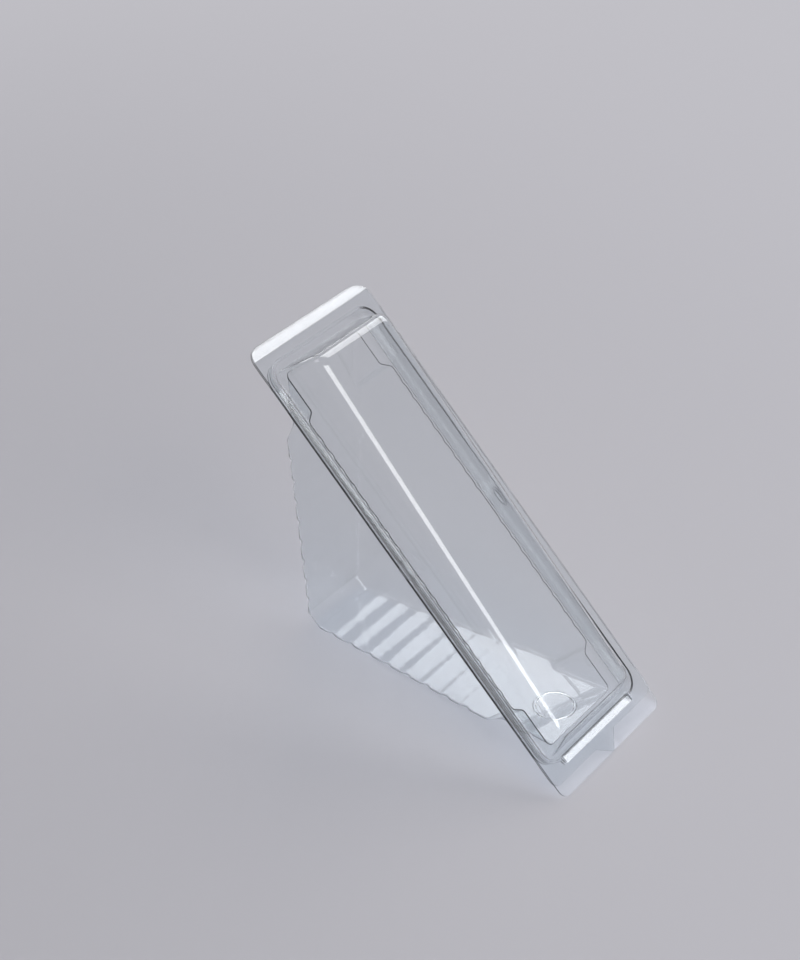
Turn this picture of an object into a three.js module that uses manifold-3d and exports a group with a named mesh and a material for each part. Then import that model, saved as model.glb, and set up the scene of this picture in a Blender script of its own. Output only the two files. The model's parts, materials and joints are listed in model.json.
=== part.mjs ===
import * as THREE from 'three';
import { mergeVertices } from 'three/addons/utils/BufferGeometryUtils.js';
import Module from 'manifold-3d';

// Clear hinged wedge pack for a diagonally cut sandwich, shut. One formed sheet makes a deep
// right-angled tub and, past a living hinge on the top edge, a domed lid over its long opening.
// Millimetres. Everything is drawn in the plane of the rim, then leaned back to stand:
// x across the pack, y up the slope from the front tab (y below 0) to the hinge (y = 0),
// z out of the opening. "Along" is a distance down the slope, measured from the hinge edge.

const wasm = await Module();
wasm.setup();

// Sheet and fits
const sheet = 0.4;
const lidGap = 0.3;
const plugClearance = 0.3;

// Rim and flange
const sideLedge = 4.4;
const hingeMargin = 8.6;
const tabMargin = 11.1;
const sideMargin = 3.3;
const rimRadius = 7;
const hingeCornerRadius = 5.5;
const tabCornerRadius = 3.5;
const endLedge = 0.9;

// Tub
const legLength = 122.8;
const openWidth = 49.4;
const noseWidth = 32.4;
const noseCut = 3.6;
const edgeRadius = 2.6;
const ledgeClearance = 0.7;
const collarTaper = 0.4;

// Ribs and the plain, narrower ends of the tub
const ribPitch = 6.8;
const ribDepth = 0.45;
const ribHalfWidth = 1.7;
const ribsEachLeg = 8;
const plainMiddle = 4.6;
const endStep = 4.2;
const endStepRun = 4.2;

// Lid
const grooveDepth = 2.9;
const grooveSide = 4.7;
const grooveBack = 3.4;
const grooveFront = 2.3;
const domeRiseBack = 15.8;
const domeRiseFront = 8.0;
const domeSideDraft = 0.215;
const domeBackDraft = 0.2;
const domeFrontDraft = 0.44;
const domeRadius = 3.4;
const domeEdgeRadius = 3.6;

// Lead-in along the tab end, where both flanges slope down to the groove
const leadRun = 2.4;
const leadDrop = 1.1;

// Peel tabs: the lid's is long on the left half, the tub's on the right half
const lidTabCut = 6.4;
const tubTabCut = 4.8;
const tabSlant = 6.4;

// Hinge lip: both flanges dip towards the fold
const lipLength = 5.6;
const lipDrop = 1.5;
const hingeInset = 0.8;
const hingeReach = 0.2;

// Snap studs half way down both long sides
const studLength = 8;
const studHeight = 2.8;
const studReach = 0.9;

// Plain ring pressed into the flat end of the bottom
const ringRadius = 7.5;
const ringDepth = 0.3;
const ringWire = 0.7;

const ROOT2 = Math.SQRT2;
const OVERRUN = 2;

// Derived places in the rim's plane
const depth = legLength / ROOT2;
const rimHalfLength = depth + endLedge;
const middle = hingeMargin + rimHalfLength;
const rimHalfWidth = openWidth / 2 + sideLedge;
const rimFront = middle + rimHalfLength;
const flangeLength = rimFront + tabMargin;
const flangeHalfWidth = rimHalfWidth + sideMargin;
const collarDepth = grooveDepth + sheet + ledgeClearance;
const noseDepth = depth - noseCut;
const wallDraft = (openWidth - noseWidth) / 2 / noseDepth;
const firstRib = plainMiddle + ribPitch / 2;
const ribbedHalf = firstRib + ribPitch * ribsEachLeg;
const leadHalf = rimHalfWidth - rimRadius;
const lidTop = lidGap + sheet;

function solidFrom(geometry) {
  geometry.deleteAttribute('normal');
  geometry.deleteAttribute('uv');
  const merged = mergeVertices(geometry, 1e-5);
  const vertProperties = new Float32Array(merged.attributes.position.array);
  const triVerts = new Uint32Array(merged.index.array);
  return new wasm.Manifold(new wasm.Mesh({ numProp: 3, vertProperties, triVerts }));
}

function geometryFrom(solid) {
  const mesh = solid.getMesh();
  const geometry = new THREE.BufferGeometry();
  const places = new Float32Array(mesh.vertProperties);
  geometry.setAttribute('position', new THREE.BufferAttribute(places, 3));
  geometry.setIndex(new THREE.BufferAttribute(new Uint32Array(mesh.triVerts), 1));
  geometry.computeVertexNormals();
  return geometry;
}

// A shape swept through count equal steps, each vertex then moved by place(x, y, step)
function sweep(shape, count, place, curveSegments = 6) {
  const options = { depth: count, steps: count, bevelEnabled: false, curveSegments };
  const geometry = new THREE.ExtrudeGeometry(shape, options);
  const position = geometry.attributes.position;
  for (let i = 0; i < position.count; i += 1) {
    const step = Math.round(position.getZ(i));
    const moved = place(position.getX(i), position.getY(i), step);
    position.setXYZ(i, moved[0], moved[1], moved[2]);
  }
  return solidFrom(geometry);
}

function roundedRectangle(halfWidth, back, front, radius) {
  const shape = new THREE.Shape();
  const inner = halfWidth - radius;
  shape.absarc(inner, -back - radius, radius, 0, Math.PI / 2, false);
  shape.absarc(-inner, -back - radius, radius, Math.PI / 2, Math.PI, false);
  shape.absarc(-inner, -front + radius, radius, Math.PI, Math.PI * 1.5, false);
  shape.absarc(inner, -front + radius, radius, Math.PI * 1.5, Math.PI * 2, false);
  return shape;
}

// Block on a rounded rectangle, its sides drawn in by taper from the upper to the lower level
function rimBlock(grow, lower, upper) {
  const back = middle - rimHalfLength - grow;
  const front = middle + rimHalfLength + grow;
  const shape = roundedRectangle(rimHalfWidth + grow, back, front, rimRadius + grow);
  return sweep(shape, 1, (x, y, step) => {
    const z = step === 0 ? lower : upper;
    const inset = collarTaper * Math.max(0, -z) / collarDepth;
    return [x - Math.sign(x) * inset, y - Math.sign(y + middle) * inset, z];
  });
}

// What lies below a level
function keepBelow(solid, level) {
  const span = 4 * legLength;
  const box = new THREE.BoxGeometry(span, span, span);
  box.translate(0, -middle, level - span / 2);
  return solid.intersect(solidFrom(box));
}

// Outward place of the ribbed sheet at a distance from the middle: 0 between ribs, -ribDepth in one
function ribOffset(fromMiddle) {
  const distance = Math.abs(fromMiddle);
  const nearest = Math.round((distance - firstRib) / ribPitch);
  const rib = firstRib + ribPitch * Math.min(Math.max(nearest, 0), ribsEachLeg - 1);
  const share = Math.min(Math.abs(distance - rib) / ribHalfWidth, 1);
  return -ribDepth * (1 + Math.cos(Math.PI * share)) / 2;
}

// Share of the step to the narrower end that is done at a distance past its start
function stepShare(pastStart) {
  const share = Math.min(Math.max(pastStart / endStepRun, 0), 1);
  return (1 - Math.cos(Math.PI * share)) / 2;
}

// How much earlier the inside starts its step, so that the wall keeps its thickness there
function stepShift(skin) {
  return skin * Math.tan(Math.atan2(endStep, endStepRun) / 2);
}

// Distances from the middle at which the tub's section is drawn, from one end to the other
function tubStations(skin) {
  const stepsPerSide = 2;
  const stepsInEnd = 5;
  const noseHalf = noseCut - skin * (ROOT2 - 1);
  const half = [noseHalf];
  for (let rib = 0; rib < ribsEachLeg; rib += 1) {
    const centre = firstRib + rib * ribPitch;
    for (let i = -stepsPerSide; i <= stepsPerSide; i += 1) {
      half.push(centre + (i * ribHalfWidth) / stepsPerSide);
    }
  }
  for (let i = 0; i <= stepsInEnd; i += 1) {
    half.push(ribbedHalf - stepShift(skin) + (i * endStepRun) / stepsInEnd);
  }
  half.push(depth + OVERRUN);
  const otherHalf = half.map((distance) => -distance).reverse();
  return [...otherHalf, 0, ...half];
}

// The wedge of the tub: outside when skin is 0, inside when skin is the sheet's thickness.
// A small section is drawn and then stretched to the width and depth of each station.
function wedge(skin, top) {
  const stations = tubStations(skin);
  const radius = edgeRadius - skin;
  const drawnHalf = 2 * radius;
  const drawnDepth = 4 * radius;
  const over = OVERRUN + 2 * edgeRadius;
  const shape = new THREE.Shape();
  shape.moveTo(drawnHalf, 0);
  shape.lineTo(-drawnHalf, 0);
  shape.absarc(-drawnHalf + radius, -drawnDepth + radius, radius, Math.PI, Math.PI * 1.5, false);
  shape.absarc(drawnHalf - radius, -drawnDepth + radius, radius, Math.PI * 1.5, Math.PI * 2, false);
  shape.closePath();
  const solid = sweep(shape, stations.length - 1, (x, y, step) => {
    const fromMiddle = stations[step];
    const distance = Math.abs(fromMiddle);
    const rib = ribOffset(fromMiddle);
    const legFloor = depth - distance - skin * ROOT2 + rib * ROOT2;
    const floor = Math.min(legFloor, noseDepth - skin);
    const z = y === 0 ? over : y + drawnDepth - floor;
    const narrowing = endStep * stepShare(distance - ribbedHalf + stepShift(skin));
    const half = openWidth / 2 + wallDraft * z - narrowing + rib - skin;
    return [Math.sign(x) * (Math.abs(x) - drawnHalf + half), -middle - fromMiddle, z];
  }, 2);
  return keepBelow(solid, top);
}

// Drop of both flanges towards the hinge
function lipLevel(along) {
  const share = Math.min(Math.max((hingeInset + lipLength - along) / lipLength, 0), 1);
  return -lipDrop * share * share;
}

// Flange sheet with its upper face at top, trimmed to an outline
function flangeSheet(outline, top) {
  const lipSteps = 5;
  const upper = [];
  for (let i = 0; i <= lipSteps; i += 1) {
    const along = hingeInset + (lipLength * i) / lipSteps;
    upper.push([along, top + lipLevel(along)]);
  }
  upper.push([flangeLength + OVERRUN, top]);
  const lower = upper.map(([along, level]) => [along, level - sheet]).reverse();
  const side = new THREE.Shape([...upper, ...lower].map((p) => new THREE.Vector2(-p[0], p[1])));
  const band = sweep(side, 1, (x, y, step) => [flangeHalfWidth * (2 * step - 1), x, y]);
  const reach = lipDrop + lidTop + OVERRUN;
  const trim = sweep(outline, 1, (x, y, step) => [x, y, reach * (2 * step - 1)]);
  return band.intersect(trim);
}

// Flange outline; side is +1 when the long half of the tab is on the right, -1 on the left
function flangeOutline(side, cut, slantStart) {
  const shape = new THREE.Shape();
  const half = flangeHalfWidth;
  const long = -flangeLength;
  const short = -flangeLength + cut;
  const r = hingeCornerRadius;
  const t = tabCornerRadius;
  shape.absarc(half - r, -hingeInset - r, r, 0, Math.PI / 2, false);
  shape.absarc(-half + r, -hingeInset - r, r, Math.PI / 2, Math.PI, false);
  const left = side < 0 ? long : short;
  const right = side < 0 ? short : long;
  shape.absarc(-half + t, left + t, t, Math.PI, Math.PI * 1.5, false);
  shape.lineTo(slantStart, left);
  shape.lineTo(slantStart + tabSlant, right);
  shape.absarc(half - t, right + t, t, Math.PI * 1.5, Math.PI * 2, false);
  return shape;
}

// Space above the lead-in when skin is 0, and the block that it is cut from when skin is the sheet's
// thickness. It starts at a distance along, and its upper edge lies in the flange's upper face.
function leadIn(skin, start, half, top) {
  const end = rimFront + leadRun;
  const fall = (leadDrop * (end - start)) / leadRun;
  const above = skin > 0 ? top : top + OVERRUN;
  const side = new THREE.Shape();
  side.moveTo(-start, above);
  side.lineTo(-start, top - fall - skin);
  side.lineTo(-end, top - skin);
  side.lineTo(-end, above);
  side.closePath();
  return sweep(side, 1, (x, y, step) => [(half + skin) * (2 * step - 1), x, y]);
}

// Long low stud on both long sides of the collar, for a skin at grow outside the collar's wall
function sideStuds(grow) {
  const level = -collarDepth / 2;
  const wall = rimHalfWidth - collarTaper / 2 + grow;
  const studs = [-1, 1].map((side) => {
    const stud = new THREE.SphereGeometry(1, 12, 8);
    stud.rotateX(Math.PI / 2);
    stud.scale(studReach, studLength / 2 + grow, studHeight / 2 + grow);
    stud.translate(side * wall, -middle, level);
    return solidFrom(stud);
  });
  return studs[0].add(studs[1]);
}

// Ring pressed in from below, halfway along the plain end of the bottom
function pressedRing(wire, inward) {
  const start = ribbedHalf + endStepRun;
  const end = depth - collarDepth - sheet;
  const fromMiddle = (start + end) / 2;
  const ring = new THREE.TorusGeometry(ringRadius, wire, 6, 28);
  ring.rotateX(-Math.PI / 4);
  const lift = inward / ROOT2;
  ring.translate(0, -middle - fromMiddle + lift, -depth + fromMiddle + lift);
  return solidFrom(ring);
}

function buildTub() {
  const seat = -collarDepth - sheet / 2;
  const outline = flangeOutline(1, tubTabCut, -tabSlant);
  let solid = flangeSheet(outline, 0);
  solid = solid.add(rimBlock(sheet, -collarDepth - sheet, -sheet / 2));
  solid = solid.add(sideStuds(sheet));
  solid = solid.add(wedge(0, seat));
  const leadStart = rimFront - collarTaper;
  solid = solid.add(leadIn(sheet, leadStart, leadHalf, 0));
  const hollow = rimBlock(0, -collarDepth, OVERRUN).add(wedge(sheet, seat + sheet));
  solid = solid.subtract(hollow.add(sideStuds(0)));
  solid = solid.subtract(leadIn(0, leadStart, leadHalf, 0));
  const pressed = ringWire - ringDepth;
  return solid.add(pressedRing(ringWire, sheet - pressed)).subtract(pressedRing(ringWire, -pressed));
}

// Dome from its foot at the bottom of the groove, with a rounded upper edge
function dome(skin, foot) {
  const back = middle - rimHalfLength + grooveBack + skin;
  const front = rimFront - grooveFront - skin;
  const half = rimHalfWidth - grooveSide - skin;
  const shape = roundedRectangle(half, back, front, domeRadius - skin);
  const radius = domeEdgeRadius - skin;
  const riseBack = domeRiseBack - skin;
  const riseFront = domeRiseFront - skin;
  const arcSteps = 6;
  const levels = [{ share: 0, inset: 0 }];
  for (let i = 0; i <= arcSteps; i += 1) {
    const angle = (i / arcSteps) * (Math.PI / 2);
    const down = radius * (1 - Math.sin(angle));
    levels.push({ share: 1 - down / riseBack, inset: radius * (1 - Math.cos(angle)) });
  }
  return sweep(shape, levels.length - 1, (x, y, step) => {
    const level = levels[step];
    const run = (-y - back) / (front - back);
    const rise = riseBack + (riseFront - riseBack) * run;
    const z = step === 0 ? foot : rise * level.share;
    const height = z + grooveDepth;
    const roundIn = level.inset;
    const endDraft = y + middle > 0 ? domeBackDraft : domeFrontDraft;
    const sideIn = height * domeSideDraft + roundIn;
    const endIn = height * endDraft + roundIn;
    return [x - Math.sign(x) * sideIn, y - Math.sign(y + middle) * endIn, z];
  });
}

function buildLid() {
  const outline = flangeOutline(-1, lidTabCut, 0);
  let solid = flangeSheet(outline, lidTop);
  solid = solid.add(rimBlock(-plugClearance, -grooveDepth - sheet, lidTop - sheet / 2));
  solid = solid.add(sideStuds(-plugClearance));
  const leadStart = rimFront - plugClearance - sheet;
  const lidLeadHalf = leadHalf - plugClearance - sheet;
  solid = solid.add(leadIn(sheet, leadStart, lidLeadHalf, lidTop));
  const groove = rimBlock(-plugClearance - sheet, -grooveDepth, lidTop + OVERRUN);
  solid = solid.subtract(groove.add(sideStuds(-plugClearance - sheet)));
  solid = solid.subtract(leadIn(0, leadStart, lidLeadHalf, lidTop));
  solid = solid.add(dome(0, -grooveDepth - sheet / 2));
  return solid.subtract(dome(sheet, -grooveDepth - sheet - OVERRUN));
}

const clearPet = { color: 0xdfe5ea, roughness: 0.08, metalness: 0, transparent: true, opacity: 0.4 };

const tub = new THREE.Mesh(geometryFrom(buildTub()), new THREE.MeshStandardMaterial(clearPet));
tub.name = 'tub';

const lid = new THREE.Mesh(geometryFrom(buildLid()), new THREE.MeshStandardMaterial(clearPet));
lid.name = 'lid';

// The lid turns about the fold, in the middle of the gap between the two lips
const foldY = -(hingeInset - hingeReach);
const foldZ = lipLevel(hingeInset) + lidGap / 2;
const hinge = new THREE.Group();
hinge.position.set(0, foldY, foldZ);
lid.position.set(0, -foldY, -foldZ);
hinge.add(lid);

// The pack stands on its nose and on the long half of the tub's tab
const standRun = flangeLength - middle - noseCut;
const standRise = noseDepth - sheet;
const pack = new THREE.Group();
pack.rotation.x = Math.atan2(standRise, standRun);
pack.add(tub, hinge);

// Origin under the middle of the pack, on the surface that it stands on
const standing = new THREE.Group();
standing.add(pack);
standing.updateMatrixWorld(true);
const box = new THREE.Box3().setFromObject(standing, true);
pack.position.set(0, -(box.min.y + box.max.y) / 2, -box.min.z);

export default standing;
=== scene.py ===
import json
import math

import bmesh
import bpy
from mathutils import Matrix, Quaternion, Vector


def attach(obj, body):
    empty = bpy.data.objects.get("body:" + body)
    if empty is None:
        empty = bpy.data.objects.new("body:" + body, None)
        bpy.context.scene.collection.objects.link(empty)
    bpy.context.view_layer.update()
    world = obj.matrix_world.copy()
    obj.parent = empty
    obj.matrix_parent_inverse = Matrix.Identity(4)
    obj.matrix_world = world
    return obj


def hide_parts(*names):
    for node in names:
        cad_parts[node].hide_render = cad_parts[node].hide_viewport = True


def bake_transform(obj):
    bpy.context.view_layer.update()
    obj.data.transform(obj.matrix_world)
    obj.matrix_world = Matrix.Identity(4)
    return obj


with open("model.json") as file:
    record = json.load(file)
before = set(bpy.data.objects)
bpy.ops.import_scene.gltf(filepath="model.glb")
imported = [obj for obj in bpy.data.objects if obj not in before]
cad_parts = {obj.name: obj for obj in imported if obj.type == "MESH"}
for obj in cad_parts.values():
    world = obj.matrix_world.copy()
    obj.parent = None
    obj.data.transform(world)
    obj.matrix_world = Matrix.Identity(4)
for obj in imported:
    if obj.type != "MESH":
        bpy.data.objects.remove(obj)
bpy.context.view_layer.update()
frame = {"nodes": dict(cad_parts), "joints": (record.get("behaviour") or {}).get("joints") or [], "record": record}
print("frame loaded:", sorted(frame["nodes"]))

mm = 0.001

# the rim's plane: x across, y up the slope to the hinge, z out of the opening, from the fold line;
# the bottom panel lies at half a right angle to it, so that panel's mount gives the rim's slope
foldLine = Vector(frame["joints"][0]["pos_m"])
underside = frame["record"]["mounts"][0]["axis"]
rimSlope = math.radians(45) - math.atan2(-underside[1], -underside[2])
rimPlane = Matrix.Translation(foldLine) @ Matrix.Rotation(rimSlope, 4, "X")


def linear(hexColour):
    channels = [int(hexColour[i:i + 2], 16) / 255 for i in (1, 3, 5)]
    return [c / 12.92 if c <= 0.04045 else ((c + 0.055) / 1.055) ** 2.4 for c in channels] + [1.0]


def addNode(material, kind, settings=None, links=None):
    # settings: input name -> value, or a property of the node; links: input name -> output socket
    node = material.node_tree.nodes.new(kind)
    for name, value in (settings or {}).items():
        if name in node.inputs:
            node.inputs[name].default_value = value
        else:
            setattr(node, name, value)
    for name, socket in (links or {}).items():
        material.node_tree.links.new(socket, node.inputs[name])
    return node


def newMaterial(name):
    material = bpy.data.materials.new(name)
    material.use_nodes = True
    material.node_tree.nodes.clear()
    return material


def finishMaterial(material, shader):
    output = addNode(material, "ShaderNodeOutputMaterial")
    material.node_tree.links.new(shader.outputs[0], output.inputs["Surface"])
    return material


# 1 where a backdrop is looked at, straight, mirrored or through the clear sheet, and 0 where it lights
def seenRay(owner):
    rays = addNode(owner, "ShaderNodeLightPath").outputs
    direct = addNode(owner, "ShaderNodeMath", {"operation": "MAXIMUM"},
                     {0: rays["Is Camera Ray"], 1: rays["Is Transmission Ray"]})
    seen = addNode(owner, "ShaderNodeMath", {"operation": "MAXIMUM"},
                   {0: direct.outputs[0], 1: rays["Is Glossy Ray"]})
    return seen.outputs[0]


# Clear amorphous PET sheet, vacuum formed: water clear and glossy, with long shallow waves where
# the hot sheet was drawn, a faint haze where it stretched most, and a cool grey tint in its edges.
def clearPetSheet():
    look = {
        "tint": "#f8fafb",
        "shadow": "#eef0f2",
        "ior": 1.57,
        "roughLow": 0.01,
        "roughHigh": 0.035,
        "hazeMm": 26,         # across one hazier patch
        "hazeFrom": 0.35,     # the noise's own span, from its clearest to its haziest
        "hazeTo": 0.7,
        "waveMm": 15,
        "waveHeightMm": 0.02,
    }
    material = newMaterial("clearPetSheet")
    place = addNode(material, "ShaderNodeTexCoord").outputs["Object"]
    haze = addNode(material, "ShaderNodeTexNoise",
                   {"Scale": 1 / (look["hazeMm"] * mm), "Detail": 3.0}, {"Vector": place})
    rough = addNode(material, "ShaderNodeMapRange",
                    {"From Min": look["hazeFrom"], "From Max": look["hazeTo"],
                     "To Min": look["roughLow"], "To Max": look["roughHigh"]},
                    {"Value": haze.outputs["Fac"]})
    wave = addNode(material, "ShaderNodeTexNoise",
                   {"Scale": 1 / (look["waveMm"] * mm), "Detail": 1.0}, {"Vector": place})
    bump = addNode(material, "ShaderNodeBump",
                   {"Strength": 1.0, "Distance": look["waveHeightMm"] * mm},
                   {"Height": wave.outputs["Fac"]})
    sheet = addNode(material, "ShaderNodeBsdfPrincipled",
                    {"Base Color": linear(look["tint"]), "IOR": look["ior"], "Transmission Weight": 1.0},
                    {"Roughness": rough.outputs["Result"], "Normal": bump.outputs["Normal"]})
    # lamps shine through the thin sheet, so it casts only a faint shadow
    letThrough = addNode(material, "ShaderNodeBsdfTransparent", {"Color": linear(look["shadow"])})
    lampRay = addNode(material, "ShaderNodeLightPath").outputs["Is Shadow Ray"]
    shader = addNode(material, "ShaderNodeMixShader", None,
                     {0: lampRay, 1: sheet.outputs["BSDF"], 2: letThrough.outputs["BSDF"]})
    return finishMaterial(material, shader)


# Matt painted studio floor: an even, pale grey with no gloss. Far from the pack it is seen at one even
# level, where the lamps would leave it dim, and it lights nothing by that.
def studioPaint():
    paint = {
        "colour": "#c1c0c6",
        "rough": 0.9,
        "gloss": 0.1,
        "farColour": "#c2c1c7",
        "litRadius": 0.2,     # lit by the lamps alone up to here, in metres
        "evenRadius": 0.8,
    }
    material = newMaterial("studioPaint")
    painted = addNode(material, "ShaderNodeBsdfPrincipled",
                      {"Base Color": linear(paint["colour"]), "Roughness": paint["rough"],
                       "Specular IOR Level": paint["gloss"]})
    even = addNode(material, "ShaderNodeEmission", {"Color": linear(paint["farColour"]), "Strength": 1.0})
    place = addNode(material, "ShaderNodeTexCoord").outputs["Object"]
    away = addNode(material, "ShaderNodeVectorMath", {"operation": "LENGTH"}, {0: place})
    far = addNode(material, "ShaderNodeMapRange",
                  {"interpolation_type": "SMOOTHSTEP", "From Min": paint["litRadius"],
                   "From Max": paint["evenRadius"]}, {"Value": away.outputs["Value"]})
    share = addNode(material, "ShaderNodeMath", {"operation": "MULTIPLY"},
                    {0: far.outputs["Result"], 1: seenRay(material)})
    shader = addNode(material, "ShaderNodeMixShader", None,
                     {0: share.outputs[0], 1: painted.outputs["BSDF"], 2: even.outputs["Emission"]})
    return finishMaterial(material, shader)


def objectFrom(bm, name, material):
    mesh = bpy.data.meshes.new(name)
    bm.to_mesh(mesh)
    bm.free()
    mesh.materials.append(material)
    made = bpy.data.objects.new(name, mesh)
    bpy.context.scene.collection.objects.link(made)
    return made


# A formed half of the pack, smooth over its curves and crisp at its folds.
def formedShell(name, node, material):
    settings = {
        "mergeMm": 0.002,
        "flatDeg": 0.3,
        "foldDeg": 40,
        "foldMm": 0.2,
        "creaseDeg": 50,
        "slopeDeg": 20,       # the lip's slope to the groove at the tab end, a shallow fold
        "slopeMm": 40,
        "slopeEndMm": -66,
    }
    bm = bmesh.new()
    bm.from_mesh(frame["nodes"][node].data)
    bmesh.ops.remove_doubles(bm, verts=bm.verts, dist=settings["mergeMm"] * mm)
    bmesh.ops.dissolve_limit(bm, angle_limit=math.radians(settings["flatDeg"]),
                             verts=bm.verts, edges=bm.edges)

    def isFold(edge):
        turn = math.degrees(edge.calc_face_angle(0))
        long = edge.calc_length() > settings["slopeMm"] * mm
        atTabEnd = max(vert.co.y for vert in edge.verts) < settings["slopeEndMm"] * mm
        return turn > settings["foldDeg"] or (turn > settings["slopeDeg"] and long and atTabEnd)

    folds = [edge for edge in bm.edges if isFold(edge)]
    bmesh.ops.bevel(bm, geom=folds, offset=settings["foldMm"] * mm, offset_type="OFFSET", affect="EDGES",
                    segments=2, profile=0.5, material=-1, clamp_overlap=True)
    shell = objectFrom(bm, name, material)
    shell.data.shade_smooth()
    shell.data.set_sharp_from_angle(angle=math.radians(settings["creaseDeg"]))
    even = shell.modifiers.new("flatsStayFlat", "WEIGHTED_NORMAL")
    even.keep_sharp = True
    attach(shell, node)
    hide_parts(node)
    print("formed shell:", name, len(shell.data.polygons), "faces")
    return shell


# The living hinge: the same sheet, thinned, bent back on itself between the two lips.
def hingeFilm(material):
    film = {"width": 53.4, "thick": 0.26, "lipBack": 0.19, "bend": 0.35, "steps": 10, "creaseDeg": 50}
    bm = bmesh.new()
    half = film["width"] / 2
    ends = [bm.verts.new((side * half, -film["lipBack"], -film["bend"])) for side in (-1, 1)]
    edge = bm.edges.new(ends)
    bmesh.ops.spin(bm, geom=[edge, *ends], cent=(0, -film["lipBack"], 0), axis=(1, 0, 0),
                   dvec=(0, 0, 0), angle=math.pi, steps=film["steps"], use_merge=False)
    bmesh.ops.recalc_face_normals(bm, faces=bm.faces)
    bmesh.ops.solidify(bm, geom=bm.faces[:], thickness=film["thick"] / 2)
    bmesh.ops.scale(bm, vec=(mm, mm, mm), verts=bm.verts)
    bmesh.ops.transform(bm, matrix=rimPlane, verts=bm.verts)
    bmesh.ops.recalc_face_normals(bm, faces=bm.faces)
    piece = objectFrom(bm, "hingeFilm", material)
    piece.data.shade_smooth()
    piece.data.set_sharp_from_angle(angle=math.radians(film["creaseDeg"]))
    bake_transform(piece)
    print("hinge film:", len(piece.data.polygons), "faces")
    return piece


# Studio: one round cove, so that floor and backdrop run together in every view.
def studioCove():
    cove = {
        "floorRadius": 1.9,
        "coveRadius": 0.8,
        "wallTop": 2.6,
        "coveSteps": 12,
        "roundSteps": 96,
        "mergeAt": 0.0005,
    }
    bm = bmesh.new()
    start = bm.verts.new((0, 0, 0))
    rim = bm.verts.new((cove["floorRadius"], 0, 0))
    bm.edges.new((start, rim))
    bend = bmesh.ops.spin(bm, geom=[rim], cent=(cove["floorRadius"], 0, cove["coveRadius"]),
                          axis=(0, -1, 0), dvec=(0, 0, 0), angle=math.pi / 2,
                          steps=cove["coveSteps"], use_merge=False)
    last = [item for item in bend["geom_last"] if isinstance(item, bmesh.types.BMVert)][0]
    wall = bm.verts.new((last.co.x, 0, cove["wallTop"]))
    bm.edges.new((last, wall))
    bmesh.ops.spin(bm, geom=bm.verts[:] + bm.edges[:], cent=(0, 0, 0), axis=(0, 0, 1), dvec=(0, 0, 0),
                   angle=2 * math.pi, steps=cove["roundSteps"], use_merge=True)
    bmesh.ops.remove_doubles(bm, verts=bm.verts, dist=cove["mergeAt"])
    bmesh.ops.recalc_face_normals(bm, faces=bm.faces)
    bmesh.ops.reverse_faces(bm, faces=bm.faces)
    floor = objectFrom(bm, "studioCove", studioPaint())
    floor.data.shade_smooth()
    print("studio cove made")
    return floor


def softbox(name, place, aim, width, height, radiance):
    light = bpy.data.lights.new(name, "AREA")
    light.shape = "RECTANGLE"
    light.size = width
    light.size_y = height
    light.energy = radiance * math.pi * width * height
    made = bpy.data.objects.new(name, light)
    made.location = place
    made.rotation_mode = "QUATERNION"
    made.rotation_quaternion = (Vector(aim) - Vector(place)).to_track_quat("-Z", "Y")
    bpy.context.scene.collection.objects.link(made)
    return made


# The back lamp shows in the bottom leg, the hinge lip, the dome's hinge end and the slope at the tab end,
# and the front lamp makes the long line down the dome's left edge.
def studioLight():
    room = {"light": "#ffffff", "lightLevel": 0.32, "seen": "#b6b6bb", "middle": (0, 0, 0.05)}
    lamps = {
        "backSoftbox": {"place": (0.9, 0.25, 0.96), "width": 1.07, "height": 0.9, "radiance": 2.6},
        "frontSoftbox": {"place": (-0.12, -0.95, 0.92), "width": 0.85, "height": 0.75, "radiance": 4.0},
        "topSoftbox": {"place": (-0.5, 0.5, 1.6), "width": 0.8, "height": 0.8, "radiance": 1.6},
    }
    for name, lamp in lamps.items():
        softbox(name, lamp["place"], room["middle"], lamp["width"], lamp["height"], lamp["radiance"])
    world = bpy.data.worlds.new("studioWorld")
    world.use_nodes = True
    world.node_tree.nodes.clear()
    lit = addNode(world, "ShaderNodeBackground",
                  {"Color": linear(room["light"]), "Strength": room["lightLevel"]})
    seen = addNode(world, "ShaderNodeBackground", {"Color": linear(room["seen"]), "Strength": 1.0})
    shader = addNode(world, "ShaderNodeMixShader", None,
                     {0: seenRay(world), 1: lit.outputs[0], 2: seen.outputs[0]})
    addNode(world, "ShaderNodeOutputWorld", None, {"Surface": shader.outputs[0]})
    bpy.context.scene.world = world
    bpy.context.scene.view_settings.view_transform = "Standard"
    print("studio lights made")


# The photo's camera, fitted to the pack's edges.
def photoCamera():
    shot = {
        "place": (-0.5052, -0.3421, 0.5461),
        "toward": (0.6451, 0.4720, -0.6009),
        "rollDeg": 2.21,
        "lens": 80.0,
        "sensor": 36,
        "nearest": 0.01,
    }
    data = bpy.data.cameras.new("photoCamera")
    data.sensor_width = shot["sensor"]
    data.lens = shot["lens"]
    data.clip_start = shot["nearest"]
    camera = bpy.data.objects.new("photoCamera", data)
    camera.location = shot["place"]
    camera.rotation_mode = "QUATERNION"
    level = Vector(shot["toward"]).to_track_quat("-Z", "Y")
    camera.rotation_quaternion = level @ Quaternion((0, 0, 1), math.radians(shot["rollDeg"]))
    bpy.context.scene.collection.objects.link(camera)
    bpy.context.scene.camera = camera
    print("camera set")


photoCamera()
studioCove()
studioLight()
pet = clearPetSheet()
formedShell("tubShell", "tub", pet)
formedShell("lidShell", "lid", pet)
hingeFilm(pet)

bpy.context.view_layer.update()
